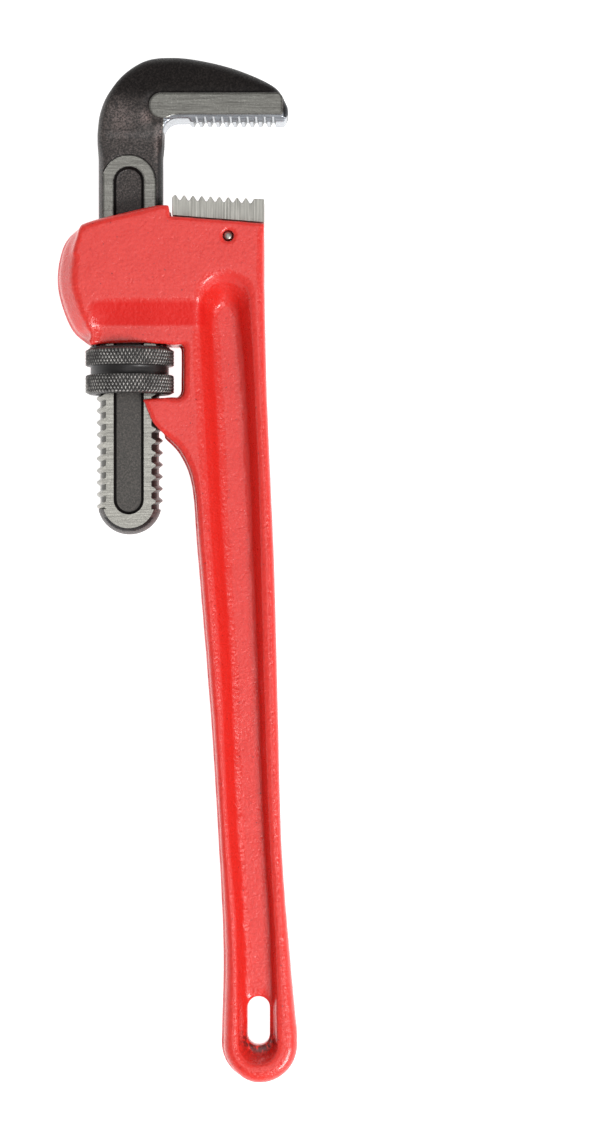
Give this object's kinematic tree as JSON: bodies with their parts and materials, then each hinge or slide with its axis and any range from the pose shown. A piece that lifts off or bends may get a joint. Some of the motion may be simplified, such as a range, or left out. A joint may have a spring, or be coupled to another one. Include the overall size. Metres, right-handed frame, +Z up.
{
  "type": "pipe wrench",
  "caption": "Straight pipe wrench with an I-beam handle, a sliding toothed hook jaw on a threaded shank, a knurled adjusting nut and a pinned heel jaw.",
  "frame": {"origin": "bottom centre of the wrench's box as it lies flat, jaws at rest", "axes": "+Y along the shank towards the jaws, +X from the shank towards the handle, +Z up out of the front face"},
  "size_m": [0.1004, 0.4272, 0.037],
  "materials": {
    "enamel": "glossy red enamel over a cast surface",
    "forged_steel": "dark forging scale, satin",
    "black_oxide_steel": "black oxide with bright worn knurl",
    "ground_steel": "bare ground steel with fine grinding lines",
    "spring_steel": "bare spring steel"
  },
  "bodies": {
    "handle": {"handle": "enamel", "heel_jaw": "ground_steel", "heel_jaw_pin": "ground_steel", "coil_spring": "spring_steel"},
    "spring_leaf": {"leaf_spring": "spring_steel", "spring_rivet": "spring_steel"},
    "nut": {"adjusting_nut": "black_oxide_steel"},
    "hook_jaw": {"hook_jaw": "forged_steel"}
  },
  "joints": [
    {"name": "jaw_rock", "type": "hinge", "parent": "handle", "child": "spring_leaf", "pos_m": [-0.03201, 0.09307, 0.0185], "axis": [0, 0, 1], "range_deg": [-2, 0], "stiffness_Nm_per_rad": 20, "springref_deg": 2.29, "deforming": ["coil_spring"]},
    {"name": "nut_spin", "type": "hinge", "parent": "spring_leaf", "child": "nut", "pos_m": [-0.02001, 0.08277, 0.0185], "axis": [0, 1, 0], "range_deg": [-3090, 2120]},
    {"name": "jaw_slide", "type": "slide", "parent": "spring_leaf", "child": "hook_jaw", "axis": [0, 1, 0], "range_m": [-0.0295, 0.043]}
  ],
  "couplings": [
    {"joint": "jaw_slide", "follows": "nut_spin", "m_per_rad": -0.00079577}
  ]
}
